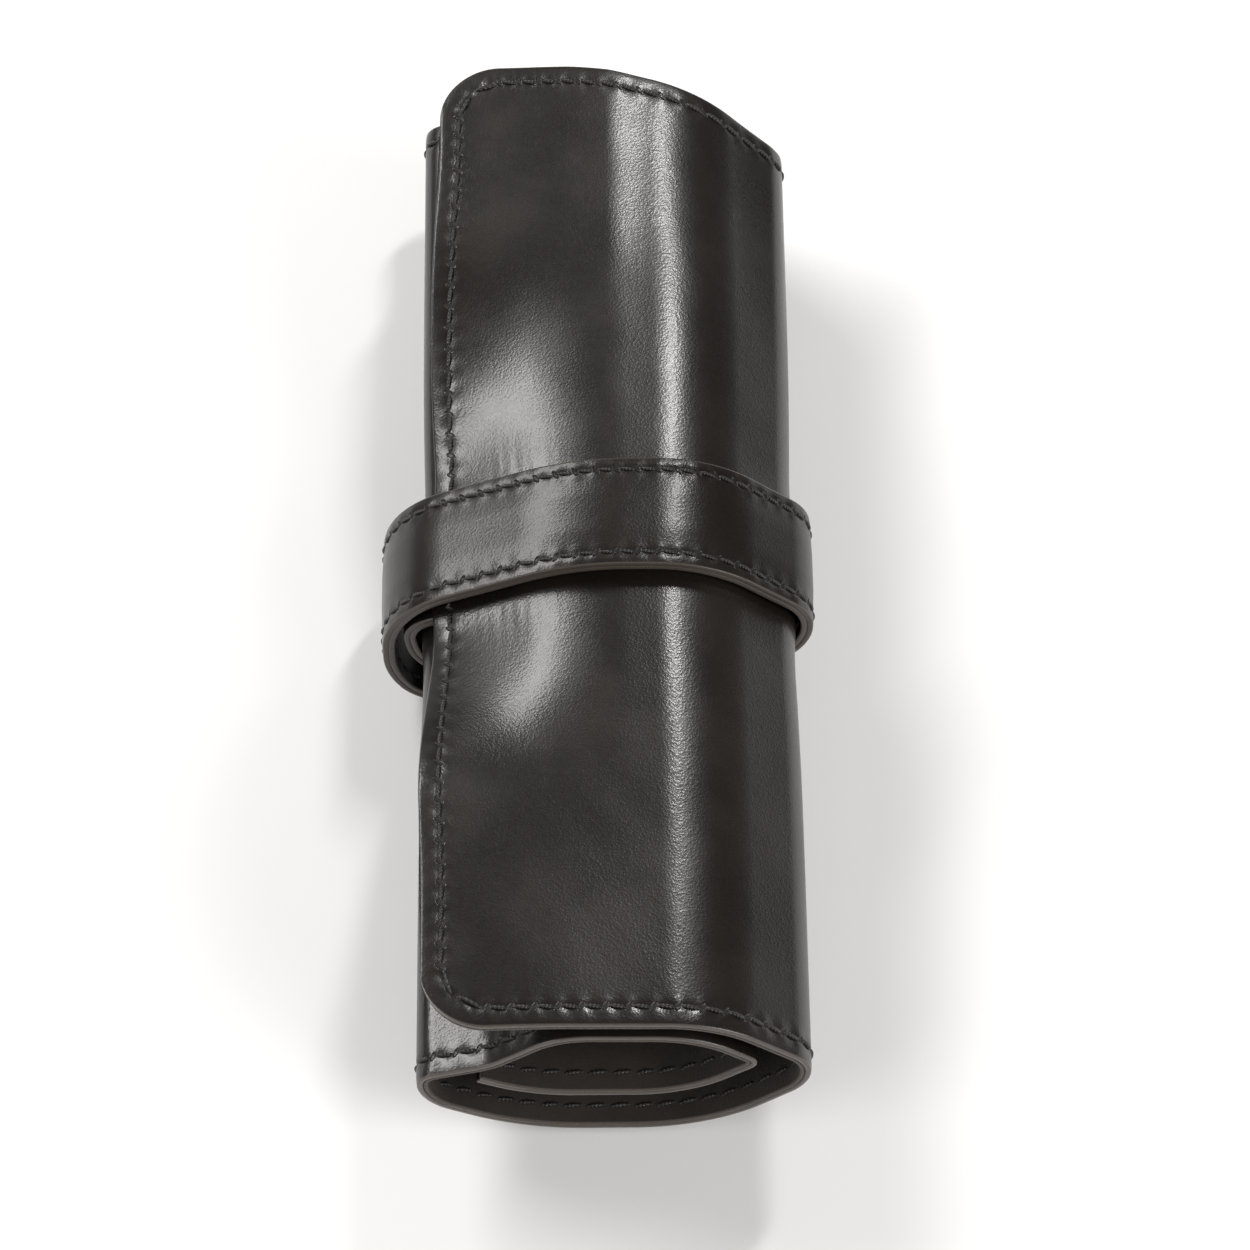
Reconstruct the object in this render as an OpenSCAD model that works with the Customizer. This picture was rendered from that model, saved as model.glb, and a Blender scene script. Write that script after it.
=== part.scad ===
// Leather pencil roll, wound into an oval and held by a long strap.
// Origin: under the middle of the roll, on the table. +Y runs along the roll, +Z up.
// The sheet and the strap are each a run of short strips, hinged along lines parallel to Y.

/* [Case] */
// Length of the roll along Y
case_l = 190; // [120:1:260]
// Thickness of the outer leather ply
shell_t = 1.1; // [0.6:0.1:2]
// Thickness of the suede lining ply
lining_t = 0.8; // [0.4:0.1:1.5]
// Radius of the two corners of the flap's free edge
flap_corner_r = 11; // [2:0.5:15]
// Length of the flat top of the flap before it falls towards its free edge
flap_flat = 4.4; // [0:0.1:12]
// Length of the flap's straight run to its free edge
flap_run = 18; // [8:0.5:22]

/* [Section bends] */
// Radius of the lower right bend
right_low_r = 30; // [20:1:45]
// Radius of the right-hand side, below its widest point
right_side_r = 10.6; // [6:0.2:16]
// Radius of the right-hand side, above its widest point
right_top_r = 8; // [5:0.5:16]
// Radius of the right shoulder, up to the flat top
shoulder_r = 22; // [12:1:30]
// Radius of the lower left bend
left_low_r = 36; // [20:1:45]
// Radius of the left-hand side
left_side_r = 11; // [6:0.5:16]
// Radius of the left shoulder, above the widest point
left_top_r = 4; // [3:0.5:10]
// Radius of the fold where the inner end turns back
inner_fold_r = 2.5; // [2:0.1:6]

/* [Strap] */
// Width of the strap along Y
strap_w = 21; // [10:1:30]
// Thickness of the strap, two plies sewn together
strap_t = 2.2; // [1.5:0.1:4]
// Length of strap sewn under the flap's free edge
strap_lap = 15.5; // [8:0.5:16]
// Place of the strap's middle along Y
strap_y = -1; // [-30:1:30]

/* [Stitching] */
// Width of a thread row
thread_w = 0.7; // [0.3:0.1:1.2]
// Height of a thread row above the leather
thread_h = 0.25; // [0.1:0.05:0.4]
// Inset of the case's stitch rows from its edges
case_inset = 3; // [2:0.5:6]
// Inset of the strap's stitch rows from its edges
strap_inset = 2; // [1:0.25:4]

/* [Hidden] */
gap = 0.3;                       // clearance between layers
seam_gap = 0.3;                  // clearance between neighbouring strips
sheet_t = shell_t + lining_t;
base_z = strap_t + gap + 0.084;    // the sheet's lowest outer face, above the strap
back_x = 1.46;                   // puts the origin under the middle of the whole width
step = 1.3;                      // sampling along the section

// A run is a list of [radius, sweep] bends and [0, length] straights.
// Bends turn left for a positive sweep and right for a negative one.
run_out = [[0, 4], [right_low_r, 45], [0, 6], [right_side_r, 45], [right_top_r, 47],
           [0, 9], [shoulder_r, 43], [0, flap_flat], [40, 26], [0, flap_run]];
run_in = [[0, 4], [left_low_r, 32], [0, 4], [left_side_r, 58], [left_top_r, 70], [0, 7.2],
          [12, -22], [0, 6.2], [16, 42], [0, 9.7], [shoulder_r - sheet_t - 2 * gap, 43],
          [0, 4], [inner_fold_r, 93], [0, 5], [22, 44], [0, 10], [26, 30], [0, 3.5]];
run_strap = [[0, strap_lap], [0, 2.3], [6.5, 72], [0, 2.014], [left_side_r + base_z, 50], [0, 4],
             [left_low_r + base_z, 32], [0, 8], [right_low_r + base_z, 45], [0, 6],
             [right_side_r + 3.7, 45], [right_top_r + 3, 47], [0, 9],
             [shoulder_r + 3, 43], [0, flap_flat], [43, 26], [0, 14], [19, 64],
             [0, 2.6], [20, 30], [10, 38]];

function run_len(g) = g[0] == 0 ? g[1] : g[0] * abs(g[1]) * PI / 180;
function total(run, i = 0) = i == len(run) ? 0 : run_len(run[i]) + total(run, i + 1);

// Place and heading [x, z, heading] a distance d along one bend or straight
function along(g, p, d) =
    g[0] == 0 ? [p[0] + d * cos(p[2]), p[1] + d * sin(p[2]), p[2]] :
    let (w = sign(g[1]), h = p[2] + w * d / g[0] * 180 / PI)
    [p[0] + w * g[0] * (sin(h) - sin(p[2])), p[1] + w * g[0] * (cos(p[2]) - cos(h)), h];

// Place and heading a distance s along a run that starts at p
function at(run, p, s, i = 0) =
    i == len(run) - 1 || s <= run_len(run[i]) ? along(run[i], p, s) :
    at(run, along(run[i], p, run_len(run[i])), s - run_len(run[i]), i + 1);

// The sheet's outer face: s counts from the middle of the back towards the flap's free edge
function sheet_at(s) =
    s >= 0 ? at(run_out, [back_x, base_z, 0], s) :
    let (q = at(run_in, [-back_x, base_z, 0], -s)) [-q[0], q[1], -q[2]];
function strap_at(s) = at(run_strap, lifted(sheet_at(total(run_out) - strap_lap), -sheet_t), s);

function lifted(p, d) = [p[0] + d * sin(p[2]), p[1] - d * cos(p[2]), p[2]];
function flat_pt(p, d) = [p[0] + d * sin(p[2]), p[1] - d * cos(p[2])];

// Distances along the sheet where one strip hands over to the next
flap_end = total(run_out);
inner_end = -total(run_in);
sheet_cuts = [inner_end, -122, -106.4, -93, -64, -42.3, -33.6, -14, 15.8, 37.8, 45.2,
              65.7, 88, flap_end];
strap_cuts = [0, 27, 53, 84.6, 114, 142, 166.5, 200, 218, total(run_strap)];

leather = [0.15, 0.13, 0.12];
suede = [0.2, 0.17, 0.15];
thread = [0.05, 0.05, 0.05];

// Distances from a to b along a run, on a spacing that sections lying on each other share
function stops(a, b) = concat(
    [a],
    [for (i = [ceil((a + 0.3) / step):1:floor((b - 0.3) / step)]) i * step],
    [b]);

// Section of a layer between distances a and b, from offset low to offset high
module sheet_section(a, b, low, high) {
    face = [for (s = stops(a, b)) sheet_at(s)];
    n = len(face) - 1;
    polygon(concat([for (i = [0:n]) flat_pt(face[i], high)],
                   [for (i = [n:-1:0]) flat_pt(face[i], low)]));
}

module strap_section(a, b, low, high) {
    face = [for (s = stops(a, b)) strap_at(s)];
    n = len(face) - 1;
    polygon(concat([for (i = [0:n]) flat_pt(face[i], high)],
                   [for (i = [n:-1:0]) flat_pt(face[i], low)]));
}

// Stands a section up along Y, from y to y + w
module run_along(y, w) {
    translate([0, y + w, 0]) rotate([90, 0, 0]) linear_extrude(w) children();
}

// Where strip k of the sheet starts and ends, short of its neighbours
function sheet_a(k) = sheet_cuts[k] + (k == 0 ? 0 : seam_gap / 2);
function sheet_b(k) = sheet_cuts[k + 1] - (k == len(sheet_cuts) - 2 ? 0 : seam_gap / 2);
function strap_a(k) = strap_cuts[k] + (k == 0 ? 0 : seam_gap / 2);
function strap_b(k) = strap_cuts[k + 1] - (k == len(strap_cuts) - 2 ? 0 : seam_gap / 2);

module shell(k) {
    color(leather) run_along(-case_l / 2, case_l)
        sheet_section(sheet_a(k), sheet_b(k), -shell_t, 0);
}

module lining(k) {
    color(suede) run_along(-case_l / 2, case_l)
        sheet_section(sheet_a(k), sheet_b(k), -sheet_t, -shell_t);
}

// Outline of the flap seen from above, with its two free corners rounded
module flap_outline() {
    edge_x = flat_pt(sheet_at(flap_end), 0)[0] - gap;
    r = flap_corner_r;
    half = case_l / 2;
    translate([edge_x + r, -half]) square([90, case_l]);
    translate([edge_x, r - half]) square([r + 1, case_l - 2 * r]);
    for (y = [r - half, half - r]) translate([edge_x + r, y]) circle(r, $fn = 48);
}

module flap_cut() {
    intersection() {
        children();
        translate([0, 0, -5]) linear_extrude(80) flap_outline();
    }
}

// Two rows of thread along the ends of strip k, on its outer face
module sheet_thread(k) {
    color(thread) for (y = [case_inset - case_l / 2, case_l / 2 - case_inset - thread_w])
        run_along(y, thread_w)
            sheet_section(max(sheet_a(k), inner_end + case_inset),
                          min(sheet_b(k), flap_end - flap_corner_r), 0, thread_h);
}

module strap_strip(k) {
    color(leather) run_along(strap_y - strap_w / 2, strap_w)
        strap_section(strap_a(k), strap_b(k), -strap_t, 0);
}

// Two rows of thread along the edges of strap strip k
module strap_thread(k) {
    color(thread) for (y = [strap_inset - strap_w / 2, strap_w / 2 - strap_inset - thread_w])
        run_along(strap_y + y, thread_w)
            strap_section(strap_a(k), min(strap_b(k), total(run_strap) - strap_inset),
                          0, thread_h);
}

module shell_inner_back() { shell(0); }
module shell_inner_turn() { shell(1); }
module shell_inner_shoulder() { shell(2); }
module shell_inner_top() { shell(3); }
module shell_left_shoulder() { shell(4); }
module shell_left_top() { shell(5); }
module shell_left_side() { shell(6); }
module shell_back() { shell(7); }
module shell_right_low() { shell(8); }
module shell_right_side() { shell(9); }
module shell_right_shoulder() { shell(10); }
module shell_flap() { shell(11); }
module shell_flap_edge() { flap_cut() shell(12); }
module lining_inner_back() { lining(0); }
module lining_inner_turn() { lining(1); }
module lining_inner_shoulder() { lining(2); }
module lining_inner_top() { lining(3); }
module lining_left_shoulder() { lining(4); }
module lining_left_top() { lining(5); }
module lining_left_side() { lining(6); }
module lining_back() { lining(7); }
module lining_right_low() { lining(8); }
module lining_right_side() { lining(9); }
module lining_right_shoulder() { lining(10); }
module lining_flap() { lining(11); }
module lining_flap_edge() { flap_cut() lining(12); }
module thread_inner_back() { sheet_thread(0); }
module thread_inner_turn() { sheet_thread(1); }
module thread_inner_shoulder() { sheet_thread(2); }
module thread_inner_top() { sheet_thread(3); }
module thread_left_shoulder() { sheet_thread(4); }
module thread_left_top() { sheet_thread(5); }
module thread_left_side() { sheet_thread(6); }
module thread_back() { sheet_thread(7); }
module thread_right_low() { sheet_thread(8); }
module thread_right_side() { sheet_thread(9); }
module thread_right_shoulder() { sheet_thread(10); }
module thread_flap() { sheet_thread(11); }
module thread_flap_edge() {
    sheet_thread(12);
    color(thread) run_along(flap_corner_r - case_l / 2, case_l - 2 * flap_corner_r)
        sheet_section(flap_end - case_inset - thread_w, flap_end - case_inset, 0, thread_h);
}
module strap_root() { strap_strip(0); }
module strap_left_under() { strap_strip(1); }
module strap_bottom() { strap_strip(2); }
module strap_right_low() { strap_strip(3); }
module strap_right_shoulder() { strap_strip(4); }
module strap_top() { strap_strip(5); }
module strap_top_left() { strap_strip(6); }
module strap_left_outer() { strap_strip(7); }
module strap_tip() { strap_strip(8); }
module strap_thread_left_under() { strap_thread(1); }
module strap_thread_right_low() { strap_thread(3); }
module strap_thread_right_shoulder() { strap_thread(4); }
module strap_thread_top() { strap_thread(5); }
module strap_thread_top_left() { strap_thread(6); }
module strap_thread_left_outer() { strap_thread(7); }
module strap_thread_tip() { strap_thread(8); }

shell_inner_back();
shell_inner_turn();
shell_inner_shoulder();
shell_inner_top();
shell_left_shoulder();
shell_left_top();
shell_left_side();
shell_back();
shell_right_low();
shell_right_side();
shell_right_shoulder();
shell_flap();
shell_flap_edge();
lining_inner_back();
lining_inner_turn();
lining_inner_shoulder();
lining_inner_top();
lining_left_shoulder();
lining_left_top();
lining_left_side();
lining_back();
lining_right_low();
lining_right_side();
lining_right_shoulder();
lining_flap();
lining_flap_edge();
thread_inner_back();
thread_inner_turn();
thread_inner_shoulder();
thread_inner_top();
thread_left_shoulder();
thread_left_top();
thread_left_side();
thread_back();
thread_right_low();
thread_right_side();
thread_right_shoulder();
thread_flap();
thread_flap_edge();
strap_root();
strap_left_under();
strap_bottom();
strap_right_low();
strap_right_shoulder();
strap_top();
strap_top_left();
strap_left_outer();
strap_tip();
strap_thread_left_under();
strap_thread_right_low();
strap_thread_right_shoulder();
strap_thread_top();
strap_thread_top_left();
strap_thread_left_outer();
strap_thread_tip();
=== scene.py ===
import math
from collections import namedtuple

import bpy
import numpy as np
from mathutils import Matrix, Vector


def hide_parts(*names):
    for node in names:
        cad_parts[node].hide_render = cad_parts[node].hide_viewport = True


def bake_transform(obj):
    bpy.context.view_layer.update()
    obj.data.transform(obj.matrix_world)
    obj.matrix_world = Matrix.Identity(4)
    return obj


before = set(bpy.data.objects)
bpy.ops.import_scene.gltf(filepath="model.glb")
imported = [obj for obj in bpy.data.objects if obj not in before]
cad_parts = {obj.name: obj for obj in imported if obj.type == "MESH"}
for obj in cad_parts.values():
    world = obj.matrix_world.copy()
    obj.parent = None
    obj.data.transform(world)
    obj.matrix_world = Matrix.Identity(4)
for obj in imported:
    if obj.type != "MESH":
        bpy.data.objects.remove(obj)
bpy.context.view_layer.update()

MM = 0.001

# ---------------------------------------------------------------- camera
CAM_AZ, CAM_EL, CAM_ROLL = -90.92, 59.24, 0.31
CAM_DIST, CAM_AIM, CAM_LENS, CAM_SENSOR = 0.870, (0.0047, -0.0115, 0.025), 147.5, 36


def make_camera():
    az, el, roll = (math.radians(v) for v in (CAM_AZ, CAM_EL, CAM_ROLL))
    back = Vector((math.cos(el) * math.cos(az), math.cos(el) * math.sin(az), math.sin(el)))
    right = Vector((0, 0, 1)).cross(back).normalized()
    up = back.cross(right)
    right, up = (right * math.cos(roll) + up * math.sin(roll),
                 up * math.cos(roll) - right * math.sin(roll))
    data = bpy.data.cameras.new("camera")
    data.lens, data.sensor_width = CAM_LENS, CAM_SENSOR
    data.clip_start, data.clip_end = 0.01, 20
    cam = bpy.data.objects.new("camera", data)
    bpy.context.scene.collection.objects.link(cam)
    m = Matrix((right, up, back)).transposed().to_4x4()
    m.translation = Vector(CAM_AIM) + back * CAM_DIST
    cam.matrix_world = m
    bpy.context.scene.camera = cam


make_camera()

# ---------------------------------------------------------------- section runs, in mm
# A run is a list of (radius, sweep) bends and (0, length) straights, as the CAD has them.
SHELL_T, LINING_T, STRAP_T = 1.1, 0.8, 2.2
SHEET_T = SHELL_T + LINING_T
UNDER_GAP, TURN_GAP = 0.384, 0.6        # between the strap and the back; between two turns
BASE_Z, BACK_X = STRAP_T + UNDER_GAP, 1.46
HALF_L, CORNER_R, STRAP_LAP = 95.0, 11.0, 15.5
STRAP_W, STRAP_Y = 21.0, -1.0

OUT_COMMON = [(0, 4), (30, 45), (0, 6), (10.6, 45), (8, 47), (0, 9), (22, 43)]
RUN_OUT = OUT_COMMON + [(0, 4.4), (40, 26), (0, 18)]
RUN_OUT_END = OUT_COMMON + [(0, 14), (300, 2), (0, 16.08)]
RUN_IN = [(0, 4), (36, 32), (0, 4), (11, 58), (4, 70), (0, 7.2), (12, -22), (0, 6.2), (16, 42),
          (0, 9.7), (22 - SHEET_T - TURN_GAP, 43), (0, 4), (2.5, 93), (0, 5), (22, 44), (0, 10),
          (26, 30), (0, 3.5)]
RUN_STRAP = [(0, STRAP_LAP), (0, 2.3), (6.5, 72), (0, 2.014), (11 + BASE_Z, 50), (0, 4),
             (36 + BASE_Z, 32), (0, 8), (30 + BASE_Z, 45), (0, 6), (14.3, 45), (11, 47), (0, 9),
             (25, 43), (0, 4.4), (43, 26), (0, 14), (19, 64), (0, 2.6), (20, 30), (10, 38)]
SHEET_NAMES = ["inner_back", "inner_turn", "inner_shoulder", "inner_top", "left_shoulder",
               "left_top", "left_side", "back", "right_low", "right_side", "right_shoulder",
               "flap", "flap_edge"]
STRAP_NAMES = ["root", "left_under", "bottom", "right_low", "right_shoulder", "top", "top_left",
               "left_outer", "tip"]
NO_THREAD = ("root", "bottom")          # strap strips whose CAD has no thread


def run_len(g):
    return g[1] if g[0] == 0 else g[0] * abs(g[1]) * math.pi / 180


def trace(run, x, z, heading, step=0.1):
    """Samples a run: arrays of distance, x, z and heading in degrees."""
    rows, s = [(0.0, x, z, heading)], 0.0
    for g in run:
        n = max(2, int(run_len(g) / step))
        x0, z0, h0 = rows[-1][1:]
        for i in range(1, n + 1):
            d = run_len(g) * i / n
            if g[0] == 0:
                a = math.radians(h0)
                rows.append((s + d, x0 + d * math.cos(a), z0 + d * math.sin(a), h0))
            else:
                w = 1 if g[1] > 0 else -1
                h = h0 + w * math.degrees(d / g[0])
                a, b = math.radians(h0), math.radians(h)
                rows.append((s + d, x0 + w * g[0] * (math.sin(b) - math.sin(a)),
                             z0 + w * g[0] * (math.cos(a) - math.cos(b)), h))
        s += run_len(g)
    return np.array(rows)


def sheet_table(run_out):
    """The sheet's outer face as (s, x, z, heading), from the inner end to the flap's free edge."""
    a = trace(run_out, BACK_X, BASE_Z, 0)
    b = trace(RUN_IN, -BACK_X, BASE_Z, 0)[::-1][:-1]
    return np.vstack([b * [-1, -1, 1, -1], a])


# the sheet's section under the strap, where the flap dips, and at the ends, where it lies flat
MID, END = sheet_table(RUN_OUT), sheet_table(RUN_OUT_END)
FLAP_END, INNER_END = MID[-1, 0], MID[0, 0]
SHEET_CUTS = [INNER_END, -122, -106.4, -93, -64, -42.3, -33.6, -14, 15.8, 37.8, 45.2, 65.7, 88,
              FLAP_END]


def at(table, s):
    return [np.interp(s, table[:, 0], table[:, k]) for k in (1, 2, 3)]


def strap_start():
    """The strap starts on the inside of the flap, its lap away from the free edge."""
    x, z, h = at(MID, FLAP_END - STRAP_LAP)
    a = math.radians(h)
    return x - SHEET_T * math.sin(a), z + SHEET_T * math.cos(a), h


STRAP = trace(RUN_STRAP, *strap_start())
STRAP_END = STRAP[-1, 0]
STRAP_CUTS = [0, 27, 53, 84.6, 114, 142, 166.5, 200, 218, STRAP_END]


def smooth(x):
    x = np.clip(x, 0, 1)
    return x * x * (3 - 2 * x)


def towards_near(y, start, length):
    """0 as far as start from the middle towards the near end, then rises to 1 over the length."""
    return smooth((-start - y) / length)


def towards_far(y, start, length):
    """The same towards the far end."""
    return smooth((y - start) / length)


def hump(x, width):
    return np.exp(-(x / width) ** 2)


def waves(x, y, z):
    """A soft, fixed unevenness of the leather, about -1 to 1."""
    return (0.50 * np.sin(0.115 * y + 0.05 * x + 1.3) * np.cos(0.10 * x + 0.07 * z + 0.4)
            + 0.30 * np.sin(0.21 * y - 0.16 * x + 0.8) + 0.20 * np.sin(0.37 * y + 0.29 * x + 2.1)
            * np.sin(0.31 * x + 0.2 * z + 0.5))


# ---------------------------------------------------------------- where the surfaces lie, in mm
CASE_ROW, STRAP_ROW = 3.35, 2.35        # from an edge to the middle of its stitch row
CASE_STITCHES, FLAP_STITCHES, CORNER_STITCHES, STRAP_STITCHES = 64, 44, 2, 58
ROW_START, ROW_STOP = INNER_END + 3, FLAP_END - CORNER_R
CASE_PITCH = (ROW_STOP - ROW_START) / CASE_STITCHES
FLAP_PITCH = 2 * (HALF_L - CORNER_R) / FLAP_STITCHES
STRAP_START, STRAP_STOP = 27.15, STRAP_END - 3
STRAP_PITCH = (STRAP_STOP - STRAP_START) / STRAP_STITCHES
CASE_SWELL, STRAP_SWELL = 0.085, 0.055  # the leather's swelling between two stitches

HELD_HALF, WAIST_HALF = 14.0, 27.0      # how far from its middle the strap holds and draws in
WAIST = 0.9                             # drawn in beside the strap
NEAR_PULL, FAR_PULL = 1.6, 3.7          # the flap's free side, drawn in at the two ends
CREASE, UNEVEN, LONG_WAVE = 0.035, 0.07, 0.5
FAR_FALL, FAR_DRAWN = 2.0, 8.5          # the far end's right side, down and back


def sheet_base(s, y):
    """The sheet's outer face in mm at distance s and place y along the roll."""
    xm, zm, _ = at(MID, s)
    xe, ze, _ = at(END, s)
    w = towards_near(y, 14, 40) + towards_far(y, 12, 54)
    x, z = xm + w * (xe - xm), zm + w * (ze - zm)
    from_strap = y - STRAP_Y
    free = 1 - np.exp(-(from_strap / HELD_HALF) ** 4)
    x = x - WAIST * hump(from_strap, WAIST_HALF) * free * (x - BACK_X) / 32
    pull = NEAR_PULL * towards_near(y, 20, 55) + FAR_PULL * towards_far(y, 20, 60)
    x = x + pull * smooth((s - 72) / 42)
    top = smooth((z - 30) / 6)
    # short creases run out from under the strap where the flap is pulled down
    ripple = np.sin(2.1 * x + 0.35 * y) * np.sin(0.9 * x - 0.2 * y + 1)
    ripple = ripple * hump(np.abs(from_strap) - HELD_HALF, 4.5)
    z = z + CREASE * ripple * top * hump(x + 14, 8)
    z = z + smooth((z - 8) / 10) * UNEVEN * waves(x, y, z) * free
    z = z + LONG_WAVE * top * free * np.sin(0.052 * y + 0.8) * hump(x + 12, 15)
    # the far end falls off and is drawn in on the side that the flap wraps over from
    fall = (np.maximum(x - 2, 0) / 7) ** 2
    z = z - FAR_FALL * fall / (1 + fall) * towards_far(y, 22, 60) * smooth((z - 20) / 16)
    drawn = FAR_DRAWN * np.clip((x + 5) / 38, 0, 1) ** 1.5
    return np.stack([x, y - drawn * towards_far(y, 55, 40), z], -1)


def border(s, y):
    """Distance in from the sheet's outline, which has rounded corners at the flap."""
    a, b = HALF_L - np.abs(y), FLAP_END - s
    corner = CORNER_R - np.hypot(CORNER_R - a, CORNER_R - b)
    return np.where((a < CORNER_R) & (b < CORNER_R), corner, np.minimum(a, b))


def pucker(d, row, u, swell):
    """Height at distance d from an edge with a row of stitches, u stitches along the row."""
    groove = -0.11 * hump(d - row, 0.6)
    swelling = swell * hump(d - row, 1.6) * np.cos(2 * math.pi * u)
    pressed_edge = 0.10 * hump(d, 0.7)
    return groove + swelling - pressed_edge


def sheet_height(s, y):
    d = border(s, y)
    u = np.where(FLAP_END - s < HALF_L - np.abs(y), (y + HALF_L - CORNER_R) / FLAP_PITCH,
                 (s - ROW_START) / CASE_PITCH)
    return pucker(d, CASE_ROW, u, CASE_SWELL)


def strap_base(s, y):
    """The strap's outer face, which wanders a little in height and to the sides."""
    x, z, _ = at(STRAP, s)
    z = z + 0.12 * np.sin(0.13 * s + 0.4 + 0.05 * y) * smooth((z - 10) / 10)
    return np.stack([x, y + 0.25 * np.sin(0.045 * s) + 0 * x, z], -1)


def strap_height(s, y):
    """The strap's stitch rows, and the slight crown between them."""
    d = STRAP_W / 2 - np.abs(y - STRAP_Y)
    row = pucker(d, STRAP_ROW, (s - STRAP_START) / STRAP_PITCH, STRAP_SWELL)
    return row + 0.16 * smooth((d - 2.6) / 5)


def outward(base, s, y, e=0.15):
    n = np.cross(base(s, y + e) - base(s, y - e), base(s + e, y) - base(s - e, y))
    return n / np.linalg.norm(n, axis=-1, keepdims=True)


# ---------------------------------------------------------------- layers as swept sections
ROUND_AT = [0, 0.05, 0.15, 0.3]         # distances from a layer's end, and the share of its
ROUND_SHARE = [0.45, 0.7, 0.9, 1.0]     # thickness there
RIM_IN = 0.4                            # where the rim's rounding starts
# the profile of a rim: mm in from the edge, and the share of the thickness down from the face
RIM = [(0.16, 0.05), (0.05, 0.16), (0.0, 0.4), (0.0, 0.62), (0.06, 0.84), (0.2, 0.96)]
RIM_TWO = [(0.16, 0.02), (0.04, 0.08), (0.0, 0.2), (0.02, 0.38), (0.1, 0.46), (0.2, 0.5),
           (0.1, 0.54), (0.03, 0.62), (0.0, 0.8), (0.06, 0.93), (0.2, 0.98)]


def spread(half, fine, coarse, margin):
    """Places from -half to half, closer together within a margin of the ends."""
    edge = np.arange(0, margin, fine)
    mid = np.linspace(-half + margin, half - margin, int(2 * (half - margin) / coarse) + 2)
    return np.concatenate([-half + edge, mid, (half - edge)[::-1]])


def section(top_y, low_y, half, thick, rim):
    """A closed section: (y, depth, rim flag), over the top, round one edge, back and round."""
    side = [(half - a, -b * thick, 1.0) for a, b in rim]
    rows = [(y, 0.0, 0.0) for y in top_y] + side + [(y, -thick, 0.0) for y in low_y[::-1]]
    return np.array(rows + [(-y, d, f) for y, d, f in side[::-1]])


def rows_between(a, b, step, middles):
    """Distances from a to b with rounded ends, and each row's share of the thickness."""
    s = np.linspace(a, b, int((b - a) / step))
    s[0], s[-1] = a + ROUND_AT[-1], b - ROUND_AT[-1]
    ends = [v for d in ROUND_AT[:-1] for v in (a + d, b - d)]
    s = np.sort(np.concatenate([s, ends, middles]))
    return s, np.interp(np.minimum(s - a, b - s), ROUND_AT, ROUND_SHARE)


def round_corners(s, y):
    """Draws a full-width section in to the outline's round corners at the flap's free edge."""
    b = np.clip(CORNER_R - (FLAP_END - s), 0, CORNER_R)
    room = HALF_L - CORNER_R + np.sqrt(np.maximum(CORNER_R ** 2 - b ** 2, 0.3))
    keep, a = HALF_L - 2 * CORNER_R, np.abs(y)
    return np.sign(y) * np.where(a > keep, keep + (a - keep) * (room - keep) / (HALF_L - keep), a)


def sweep(form, s, share, loop, thick, low=0, corners=False):
    """Points, normals, flat places and rim flags of a layer: rows along s, each a closed section.
    The layer lies low mm from the form's outer face, and only one that lies on it has stitch rows."""
    sg = s[:, None] + 0 * loop[:, 0]
    y, depth = loop[:, 0] + 0 * sg, loop[:, 1] + 0 * sg
    if corners:
        y = round_corners(sg, y)
    y = y + form.mid_y
    depth = -thick / 2 + (depth + thick / 2) * share[:, None]
    on_face, on_rim = loop[:, 1] > -0.01, loop[:, 2] > 0
    relief = 0 if low else form.height(sg, y) * np.where(on_face, 1.0, np.where(on_rim, 0.5, 0.0))
    pts = form.base(sg, y) + outward(form.base, sg, y) * (relief + depth + low)[..., None]
    along = np.gradient(pts, axis=0)
    around = np.roll(pts, -1, 1) - np.roll(pts, 1, 1)
    nrm = np.cross(around, along)
    nrm = nrm / np.maximum(np.linalg.norm(nrm, axis=-1, keepdims=True), 1e-9)
    return pts, nrm, np.stack([sg, y, depth + low], -1), loop[:, 2] + 0 * sg


def add_attribute(mesh, name, kind, key, values):
    a = mesh.attributes.new(name, kind, "POINT")
    a.data.foreach_set(key, values.astype(np.float32).ravel())


def add_object(name, mesh, material):
    mesh.materials.append(material)
    obj = bpy.data.objects.new(name, mesh)
    bpy.context.scene.collection.objects.link(obj)
    return obj


def make_piece(name, layer, i, j, material):
    """Rows i to j of a layer as one closed mesh."""
    pts, nrm, flat, rim = (a[i:j + 1] for a in layer)
    ns, nl = pts.shape[:2]
    r, c = np.meshgrid(np.arange(ns - 1), np.arange(nl), indexing="ij")
    d = (c + 1) % nl
    quads = np.stack([r * nl + c, r * nl + d, (r + 1) * nl + d, (r + 1) * nl + c], -1)
    caps = [list(range(nl))[::-1], [(ns - 1) * nl + k for k in range(nl)]]
    mesh = bpy.data.meshes.new(name)
    mesh.from_pydata((pts.reshape(-1, 3) * MM).tolist(), [], quads.reshape(-1, 4).tolist() + caps)
    smooth_face = np.ones(len(mesh.polygons), bool)
    smooth_face[-len(caps):] = False
    mesh.polygons.foreach_set("use_smooth", smooth_face)
    at_quads = nrm.reshape(-1, 3)[quads.reshape(-1)]
    first = pts[0].mean(0) - pts[1].mean(0)
    last = pts[-1].mean(0) - pts[-2].mean(0)
    at_caps = [v / np.linalg.norm(v) + 0 * pts[0] for v in (first, last)]
    mesh.normals_split_custom_set(np.concatenate([at_quads, *at_caps]).tolist())
    add_attribute(mesh, "flat_pos", "FLOAT_VECTOR", "vector", flat)
    add_attribute(mesh, "rim", "FLOAT", "value", rim)
    return add_object(name, mesh, material)


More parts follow.
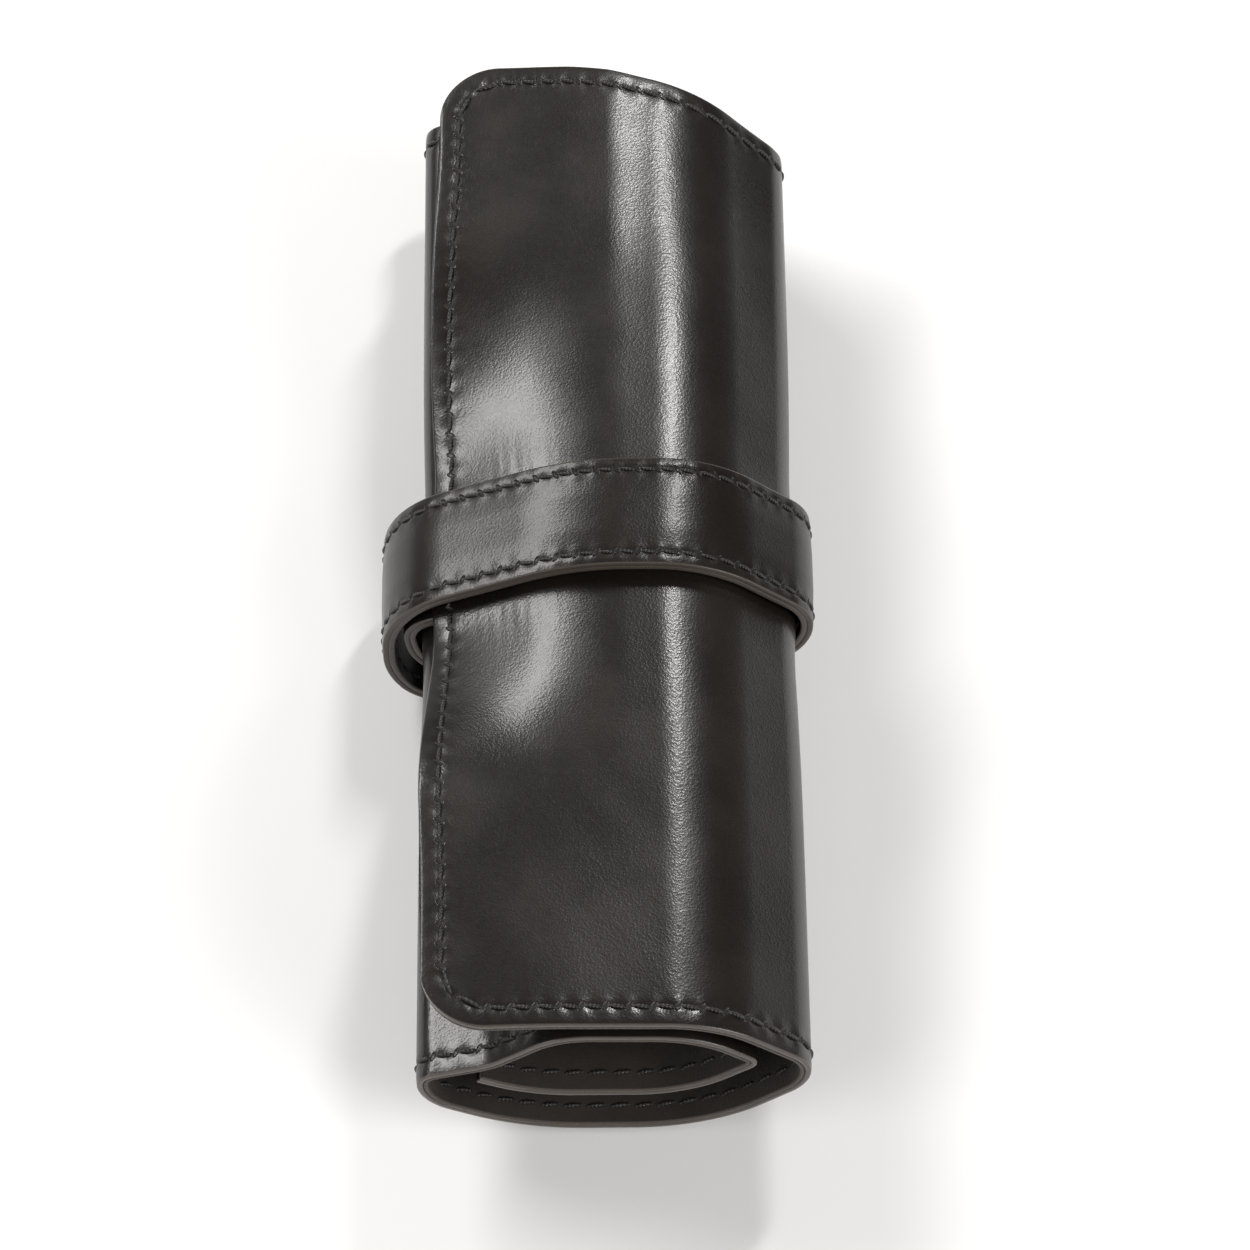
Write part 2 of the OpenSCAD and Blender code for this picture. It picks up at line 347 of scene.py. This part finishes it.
# ---------------------------------------------------------------- stitches
STITCH_ROWS, STITCH_RING = 9, 8
STITCH_GAP, STITCH_SPAN = 0.06, 0.88    # shares of a pitch: left at each end, and covered
SLANT = 0.11                            # sideways shift from end to end, per length
R_END, R_ADDED = 0.55, 0.45             # share of the radius at the ends, and added up to the middle
SUNK, RISE_OUT, RISE_IN = -1.5, 1.95, 1.75      # thread radii: at the ends, and up to the middle
CASE_THREAD_R, STRAP_THREAD_R = 0.40, 0.32
TWIST_ALONG, TWIST_AROUND = 3, 6        # scale the places on a stitch that its twist is drawn from


def make_stitches(name, form, spans, radius, material):
    """Stitches as tapered, slightly slanted lengths of thread; a span is (s, y, s, y, face),
    with face 1 on the outside of the form and -1 on its inside."""
    spans = np.array(spans, float)
    spans, face = spans[:, :4], spans[:, 4:]
    k, ring = STITCH_ROWS, STITCH_RING
    t = np.linspace(0, 1, k)
    a, b = spans[:, None, :2], spans[:, None, 2:]
    d = b - a
    side = np.stack([-d[..., 1], d[..., 0]], -1)
    u = t[None, :, None]
    q = a + d * (STITCH_GAP + STITCH_SPAN * u) + side * (SLANT * (u - 0.5))
    s, y = q[..., 0], q[..., 1]
    bulge = np.sin(math.pi * t)[None, :]
    off = np.where(face > 0, radius * (SUNK + RISE_OUT * bulge ** 0.45),
                   -form.thick - radius * (SUNK + RISE_IN * bulge ** 0.45))
    n = outward(form.base, s, y)
    pts = form.base(s, y) + n * (np.where(face > 0, form.height(s, y), 0) + off)[..., None]
    along = np.gradient(pts, axis=1)
    along = along / np.linalg.norm(along, axis=-1, keepdims=True)
    across = np.cross(along, n)
    across = across / np.linalg.norm(across, axis=-1, keepdims=True)
    n = np.cross(across, along)
    r = radius * (R_END + R_ADDED * bulge ** 0.5)
    g = 2 * math.pi * np.arange(ring) / ring
    v = (pts[:, :, None] + (across[:, :, None] * np.cos(g)[:, None]
                            + n[:, :, None] * np.sin(g)[:, None]) * r[..., None, None])
    m = len(spans)
    i, row, c = np.meshgrid(np.arange(m), np.arange(k - 1), np.arange(ring), indexing="ij")
    o, e = (i * k + row) * ring, (c + 1) % ring
    quads = np.stack([o + c, o + e, o + ring + e, o + ring + c], -1).reshape(-1, 4).tolist()
    for j in range(m):
        quads.append([j * k * ring + c for c in range(ring)][::-1])
        quads.append([(j * k + k - 1) * ring + c for c in range(ring)])
    mesh = bpy.data.meshes.new(name)
    mesh.from_pydata((v.reshape(-1, 3) * MM).tolist(), [], quads)
    mesh.polygons.foreach_set("use_smooth", np.ones(len(mesh.polygons), bool))
    nil = 0 * v[..., 0]
    add_attribute(mesh, "flat_pos", "FLOAT_VECTOR", "vector",
                  np.stack([(t * TWIST_ALONG)[None, :, None] + nil, g / TWIST_AROUND + nil, nil], -1))
    return add_object(name, mesh, material)


def case_spans():
    """The rows along both ends and the flap's free edge, and the stitches round its corners."""
    spans, edge_y, corner_y = [], HALF_L - CASE_ROW, HALF_L - CORNER_R
    for k in range(CASE_STITCHES):
        a, b = ROW_START + k * CASE_PITCH, ROW_START + (k + 1) * CASE_PITCH
        spans += [(a, -edge_y, b, -edge_y), (b, edge_y, a, edge_y)]
    for k in range(FLAP_STITCHES):
        a = k * FLAP_PITCH - HALF_L + CORNER_R
        spans.append((FLAP_END - CASE_ROW, a, FLAP_END - CASE_ROW, a + FLAP_PITCH))
    r, turn = CORNER_R - CASE_ROW, math.pi / 2 / CORNER_STITCHES
    for k in range(CORNER_STITCHES):
        (c0, s0), (c1, s1) = ((r * math.cos(q), r * math.sin(q))
                              for q in (k * turn, (k + 1) * turn))
        spans += [(ROW_STOP + s0, -corner_y - c0, ROW_STOP + s1, -corner_y - c1),
                  (ROW_STOP + s1, corner_y + c1, ROW_STOP + s0, corner_y + c0)]
    return [(*span, face) for span in spans for face in (1, -1)]


def strap_spans():
    """The rows along the strap's two edges."""
    spans = []
    for k in range(STRAP_STITCHES):
        a, b = STRAP_START + k * STRAP_PITCH, STRAP_START + (k + 1) * STRAP_PITCH
        for side in (-1, 1):
            y = STRAP_Y + side * (STRAP_W / 2 - STRAP_ROW)
            start, stop = (a, b) if side < 0 else (b, a)
            spans += [(start, y, stop, y, face) for face in (1, -1)]
    return spans


# ---------------------------------------------------------------- materials, with sizes in mm
GLOSS, WORN = (0.0078, 0.0058, 0.0047, 1), (0.0118, 0.0090, 0.0074, 1)
# The second colour on the next line, for the stitch holes, is painted shade: near-black in place of
# the shade inside each hole.
SPECKLE, HOLE_SHADE = (0.010, 0.0085, 0.008, 1), (0.0015, 0.0013, 0.0012, 1)
RIM_COLOUR = (0.080, 0.066, 0.056, 1)
SUEDE_DARK, SUEDE_PALE = (0.014, 0.0112, 0.0095, 1), (0.026, 0.021, 0.018, 1)
NAP_PALE = (0.042, 0.035, 0.030, 1)
# The second colour on the next line is a painted highlight for the ridges of the thread's twist; the
# first is the thread's own black.
WAX_DARK, WAX_RIDGE_HIGHLIGHT = (0.006, 0.006, 0.006, 1), (0.018, 0.017, 0.016, 1)
HOLE_LEAN, HOLE_HALF_ALONG, HOLE_HALF_ACROSS = 0.45, 0.42, 0.75
CELLS_COARSE, CELLS_FINE = 2.4, 4.3     # per mm
GRAIN_DEPTH, NAP_DEPTH, TWIST_DEPTH = 0.00006, 0.00014, 0.00005     # metres


class Net:
    """A material's nodes, with short ways to add the ones used here."""

    def __init__(self, name):
        self.mat = bpy.data.materials.new(name)
        self.mat.use_nodes = True
        self.t = self.mat.node_tree
        self.bsdf = next(n for n in self.t.nodes if n.type == "BSDF_PRINCIPLED")
        a = self.t.nodes.new("ShaderNodeAttribute")
        a.attribute_name = "flat_pos"
        self.pos = a.outputs["Vector"]

    def put(self, node, key, value):
        if hasattr(value, "is_linked"):
            self.t.links.new(value, node.inputs[key])
        else:
            node.inputs[key].default_value = value

    def math(self, op, *values):
        n = self.t.nodes.new("ShaderNodeMath")
        n.operation = op
        for i, v in enumerate(values):
            self.put(n, i, v)
        return n.outputs[0]

    def noise(self, scale, detail=2.0, rough=0.5, distortion=0.0):
        n = self.t.nodes.new("ShaderNodeTexNoise")
        for key, v in (("Vector", self.pos), ("Scale", scale), ("Detail", detail),
                       ("Roughness", rough), ("Distortion", distortion)):
            self.put(n, key, v)
        return n.outputs[0]

    def cells(self, scale):
        n = self.t.nodes.new("ShaderNodeTexVoronoi")
        self.put(n, "Vector", self.pos)
        self.put(n, "Scale", scale)
        return n.outputs["Distance"]

    def ramp(self, value, low, high, a=0.0, b=1.0):
        n = self.t.nodes.new("ShaderNodeMapRange")
        n.interpolation_type = "SMOOTHSTEP"
        for key, v in (("Value", value), ("From Min", low), ("From Max", high), ("To Min", a),
                       ("To Max", b)):
            self.put(n, key, v)
        return n.outputs["Result"]

    def mix(self, fac, a, b):
        n = self.t.nodes.new("ShaderNodeMix")
        n.data_type = "RGBA"
        for i, v in ((0, fac), (6, a), (7, b)):
            self.put(n, i, v)
        return n.outputs[2]

    def blotch(self, base, mask, share, colour):
        """The colour laid over the base where the mask is, at a share of its strength."""
        return self.mix(self.math("MULTIPLY", mask, share), base, colour)

    def attribute(self, name):
        n = self.t.nodes.new("ShaderNodeAttribute")
        n.attribute_name = name
        return n.outputs["Fac"]

    def split(self):
        n = self.t.nodes.new("ShaderNodeSeparateXYZ")
        self.put(n, 0, self.pos)
        return n.outputs[0], n.outputs[1]

    def bump(self, height, distance):
        n = self.t.nodes.new("ShaderNodeBump")
        for key, v in (("Height", height), ("Distance", distance), ("Strength", 1.0)):
            self.put(n, key, v)
        self.put(self.bsdf, "Normal", n.outputs[0])
        self.put(self.bsdf, "Coat Normal", n.outputs[0])

    def holes(self, along, start, pitch, across):
        """1 at the small slanted holes at each end of a stitch; across is 0 on the row."""
        u = self.math("DIVIDE", self.math("SUBTRACT", along, start), pitch)
        u = self.math("FRACT", self.math("ADD", u, 0.5))
        u = self.math("MULTIPLY", self.math("SUBTRACT", u, 0.5), pitch)
        u = self.math("ADD", u, self.math("MULTIPLY", across, HOLE_LEAN))
        u = self.math("POWER", self.math("DIVIDE", u, HOLE_HALF_ALONG), 2.0)
        v = self.math("POWER", self.math("DIVIDE", across, HOLE_HALF_ACROSS), 2.0)
        return self.ramp(self.math("SQRT", self.math("ADD", u, v)), 0.6, 1.25, 1.0, 0.0)


def strap_holes(m):
    s, y = m.split()
    off = m.math("ABSOLUTE", m.math("SUBTRACT", y, STRAP_Y))
    d = m.math("SUBTRACT", STRAP_W / 2, off)
    return m.holes(s, STRAP_START, STRAP_PITCH, m.math("SUBTRACT", d, STRAP_ROW))


def case_holes(m):
    """The rows along both ends as far as the flap's corners, and the row between the corners."""
    s, y = m.split()
    d = m.math("SUBTRACT", HALF_L, m.math("ABSOLUTE", y))
    d2 = m.math("SUBTRACT", FLAP_END, s)
    rows = m.holes(s, ROW_START, CASE_PITCH, m.math("SUBTRACT", d, CASE_ROW))
    rows = m.math("MULTIPLY", rows, m.ramp(d2, CORNER_R - 1, CORNER_R))
    flap = m.holes(y, CORNER_R - HALF_L, FLAP_PITCH, m.math("SUBTRACT", d2, CASE_ROW))
    flap = m.math("MULTIPLY", flap, m.ramp(d, CORNER_R - 1, CORNER_R))
    return m.math("MAXIMUM", rows, flap)


def leather(name, find_holes, specular, coat):
    m = Net(name)
    hole, patch, fine = find_holes(m), m.noise(0.045, 3.0, 0.55), m.noise(0.8, 4.0, 0.6)
    colour = m.mix(m.ramp(patch, 0.42, 0.66), GLOSS, WORN)
    colour = m.blotch(colour, fine, 0.35, SPECKLE)
    colour = m.blotch(colour, m.attribute("rim"), 0.85, RIM_COLOUR)
    # The stitch holes are painted near-black: painted shade inside each hole.
    m.put(m.bsdf, "Base Color", m.blotch(colour, hole, 0.92, HOLE_SHADE))
    rough = m.math("ADD", m.ramp(patch, 0.3, 0.72, 0.235, 0.30), m.math("MULTIPLY", fine, 0.08))
    m.put(m.bsdf, "Roughness", m.math("ADD", rough, m.math("MULTIPLY", hole, 0.4)))
    m.put(m.bsdf, "Specular IOR Level", specular)
    m.put(m.bsdf, "Coat Weight", coat)
    m.put(m.bsdf, "Coat Roughness", 0.14)
    grain, small = m.math("POWER", m.cells(CELLS_COARSE), 1.3), m.cells(CELLS_FINE)
    crease = m.math("ABSOLUTE", m.math("SUBTRACT", m.noise(0.07, 2.0, 0.5, 0.5), 0.5))
    crease, swell = m.ramp(crease, 0.0, 0.05), m.noise(0.12, 1.0, 0.4)
    height = m.math("MULTIPLY", grain, 0.26)
    for part, share in ((small, 0.10), (crease, 0.05), (swell, 0.55)):
        height = m.math("ADD", height, m.math("MULTIPLY", part, share))
    m.bump(m.math("SUBTRACT", height, m.math("MULTIPLY", hole, 3.0)), GRAIN_DEPTH)
    return m.mat


def suede():
    m = Net("lining_suede")
    nap, patch = m.noise(1.6, 5.0, 0.7), m.noise(0.09, 3.0, 0.6)
    colour = m.mix(m.ramp(patch, 0.35, 0.7), SUEDE_DARK, SUEDE_PALE)
    colour = m.blotch(colour, nap, 0.5, NAP_PALE)
    m.put(m.bsdf, "Base Color", m.blotch(colour, m.attribute("rim"), 0.8, RIM_COLOUR))
    m.put(m.bsdf, "Roughness", m.ramp(nap, 0.3, 0.7, 0.78, 0.95))
    m.put(m.bsdf, "Specular IOR Level", 0.25)
    m.put(m.bsdf, "Sheen Weight", 0.12)
    m.bump(m.math("ADD", nap, m.math("MULTIPLY", m.cells(CELLS_COARSE), 0.5)), NAP_DEPTH)
    return m.mat


def waxed():
    """Thread with its twist, which runs slanting round it."""
    m = Net("waxed_thread")
    s, y = m.split()
    twist = m.math("SINE", m.math("MULTIPLY", m.math("ADD", s, m.math("MULTIPLY", y, 0.95)), 12.0))
    # The twist's ridges are painted paler than the thread's black: a painted highlight on each ridge.
    m.put(m.bsdf, "Base Color", m.mix(m.ramp(twist, -1.0, 1.0), WAX_DARK, WAX_RIDGE_HIGHLIGHT))
    m.put(m.bsdf, "Roughness", m.ramp(m.noise(2.0), 0.3, 0.7, 0.38, 0.52))
    m.bump(twist, TWIST_DEPTH)
    return m.mat


LEATHER = leather("glossy_leather", case_holes, 0.42, 0.2)
STRAP_LEATHER = leather("strap_leather", strap_holes, 0.3, 0.1)
SUEDE, WAXED = suede(), waxed()

# ---------------------------------------------------------------- pieces and the bodies of their strips
# A form is the sheet or the strap: its strips and their bodies, and its outer face.
Form = namedtuple("Form", "names cuts body base height thick mid_y")


def sheet_body(i):
    return "sheet_" + SHEET_NAMES[i]


def strap_body(i):
    return "strap_" + STRAP_NAMES[i] if i else "sheet_flap_edge"


SHEET = Form(SHEET_NAMES, SHEET_CUTS, sheet_body, sheet_base, sheet_height, SHEET_T, 0)
BAND = Form(STRAP_NAMES, STRAP_CUTS, strap_body, strap_base, strap_height, STRAP_T, STRAP_Y)


def mid_point(form, s):
    """The middle of a form's thickness and width at distance s, in metres."""
    s, y = np.array([float(s)]), np.array([form.mid_y])
    return tuple((form.base(s, y)[0] - outward(form.base, s, y)[0] * form.thick / 2) * MM)


def centres(cuts):
    return [(a + b) / 2 for a, b in zip(cuts, cuts[1:])]


def bend_start(form, i):
    """A distance along a piece: a strip's middle, or, for the strap's top_left strip,
    1 mm short of the fold where the strap's end opens."""
    return form.cuts[i + 1] - 1 if form.names[i] == "top_left" else centres(form.cuts)[i]


def extent(form, i, past=0):
    """From a strip's middle to the next one's; the first and last pieces run past the ends."""
    mids = centres(form.cuts)
    return (form.cuts[0] - past if i == 0 else mids[i],
            form.cuts[-1] + past if i == len(form.names) - 2 else mids[i + 1])


def attach(obj, form, i, node_prefix, without=()):
    """Bakes a piece's transform, and hides the first strip's CAD node in its place,
    or the nodes of both strips at the last piece."""
    form.body(i)
    form.body(i + 1)
    mid_point(form, bend_start(form, i))
    mid_point(form, centres(form.cuts)[i + 1])
    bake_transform(obj)
    strips = form.names[i:] if i == len(form.names) - 2 else [form.names[i]]
    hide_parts(*[node_prefix + n for n in strips if n not in without])


def dress(prefix, form, node_prefix, layer, s, material):
    """Splits a layer at its strips' middles."""
    for i in range(len(form.names) - 1):
        lo, hi = extent(form, i)
        a, b = int(np.argmin(abs(s - lo))), int(np.argmin(abs(s - hi)))
        obj = make_piece(f"{prefix}_{form.names[i]}_to_{form.names[i + 1]}", layer, a, b, material)
        attach(obj, form, i, node_prefix)


def dress_stitches(prefix, form, node_prefix, spans, radius, without=()):
    """Gives each piece of a form its own stitches."""
    for i in range(len(form.names) - 1):
        lo, hi = extent(form, i, past=1)
        mine = [p for p in spans if lo <= (p[0] + p[2]) / 2 < hi]
        name = f"{prefix}_{form.names[i]}_to_{form.names[i + 1]}"
        obj = make_stitches(name, form, mine, radius, WAXED)
        attach(obj, form, i, node_prefix, without)


SHEET_STEP, STRAP_STEP = 0.55, 0.45     # between two rows of a layer
rows, share = rows_between(INNER_END, FLAP_END, SHEET_STEP, centres(SHEET_CUTS))
face_y, hidden_y, lining_y = (spread(HALF_L - RIM_IN, fine, coarse, 8)
                              for fine, coarse in ((0.4, 1.0), (4.0, 4.0), (0.8, 1.6)))
shell = sweep(SHEET, rows, share, section(face_y, hidden_y, HALF_L, SHELL_T, RIM), SHELL_T,
              corners=True)
dress("leather", SHEET, "shell_", shell, rows, LEATHER)

PLY_GAP, LINING_IN = 0.02, 0.08         # the lining lies just under the shell and inside its edge
lining = sweep(SHEET, rows, share, section(hidden_y, lining_y, HALF_L - LINING_IN, LINING_T, RIM),
               LINING_T, low=-SHELL_T - PLY_GAP, corners=True)
dress("lining", SHEET, "lining_", lining, rows, SUEDE)

strap_rows, strap_share = rows_between(0, STRAP_END, STRAP_STEP, centres(STRAP_CUTS))
strap_y = spread(STRAP_W / 2 - RIM_IN, 0.3, 0.5, 4)
strap = sweep(BAND, strap_rows, strap_share,
              section(strap_y, strap_y[::3], STRAP_W / 2, STRAP_T, RIM_TWO), STRAP_T)
dress("strap", BAND, "strap_", strap, strap_rows, STRAP_LEATHER)

dress_stitches("stitches", SHEET, "thread_", case_spans(), CASE_THREAD_R)
dress_stitches("strap_stitches", BAND, "strap_thread_", strap_spans(), STRAP_THREAD_R, NO_THREAD)

# ---------------------------------------------------------------- floor and light, in metres
FLOOR_HALF, FLOOR_WHITE, FLOOR_ROUGH = 4, (0.86, 0.86, 0.86, 1), 0.9
LIGHT_AIM, LIGHT_COLOUR = (0, 0, 0.03), (1.0, 0.98, 0.96)
WORLD_COLOUR, WORLD_STRENGTH = (1.0, 0.99, 0.98, 1), 0.12
# name, direction, distance, size, watts, turn in degrees
LIGHTS = [("strip", (0.275, 0.57, 0.77), 1.3, (0.10, 0.34), 6.5, -8),
          ("patch_left", (-0.55, 0.50, 0.60), 1.5, (1.10, 0.32), 18, 0),
          ("fill_right", (0.9, -0.5, 0.6), 1.6, (1.0, 1.0), 18, 0),
          ("fill_left", (-0.9, -0.5, 0.6), 1.6, (0.9, 0.9), 9, 0),
          ("front", (0.1, -1.0, 0.7), 1.8, (1.0, 0.8), 3, 0)]


def make_floor():
    mat = bpy.data.materials.new("pale_floor")
    mat.use_nodes = True
    bsdf = next(n for n in mat.node_tree.nodes if n.type == "BSDF_PRINCIPLED")
    bsdf.inputs["Base Color"].default_value = FLOOR_WHITE
    bsdf.inputs["Roughness"].default_value = FLOOR_ROUGH
    h = FLOOR_HALF
    mesh = bpy.data.meshes.new("floor")
    mesh.from_pydata([(-h, -h, 0), (h, -h, 0), (h, h, 0), (-h, h, 0)], [], [(0, 1, 2, 3)])
    return add_object("floor", mesh, mat)


def make_light(name, direction, distance, size, power, turn):
    data = bpy.data.lights.new(name, "AREA")
    data.shape, data.size, data.size_y, data.energy = "RECTANGLE", size[0], size[1], power
    data.color = LIGHT_COLOUR
    light = bpy.data.objects.new(name, data)
    bpy.context.scene.collection.objects.link(light)
    d = Vector(direction).normalized()
    light.location = Vector(LIGHT_AIM) + d * distance
    light.rotation_mode = "QUATERNION"
    q = d.to_track_quat("Z", "Y")
    light.rotation_quaternion = q @ Matrix.Rotation(math.radians(turn), 3, "Z").to_quaternion()


def make_world():
    world = bpy.data.worlds.new("pale")
    world.use_nodes = True
    background = next(n for n in world.node_tree.nodes if n.type == "BACKGROUND")
    background.inputs["Color"].default_value = WORLD_COLOUR
    background.inputs["Strength"].default_value = WORLD_STRENGTH
    bpy.context.scene.world = world


floor = make_floor()
for light in LIGHTS:
    make_light(*light)
make_world()
bpy.context.scene.view_settings.view_transform = "Standard"
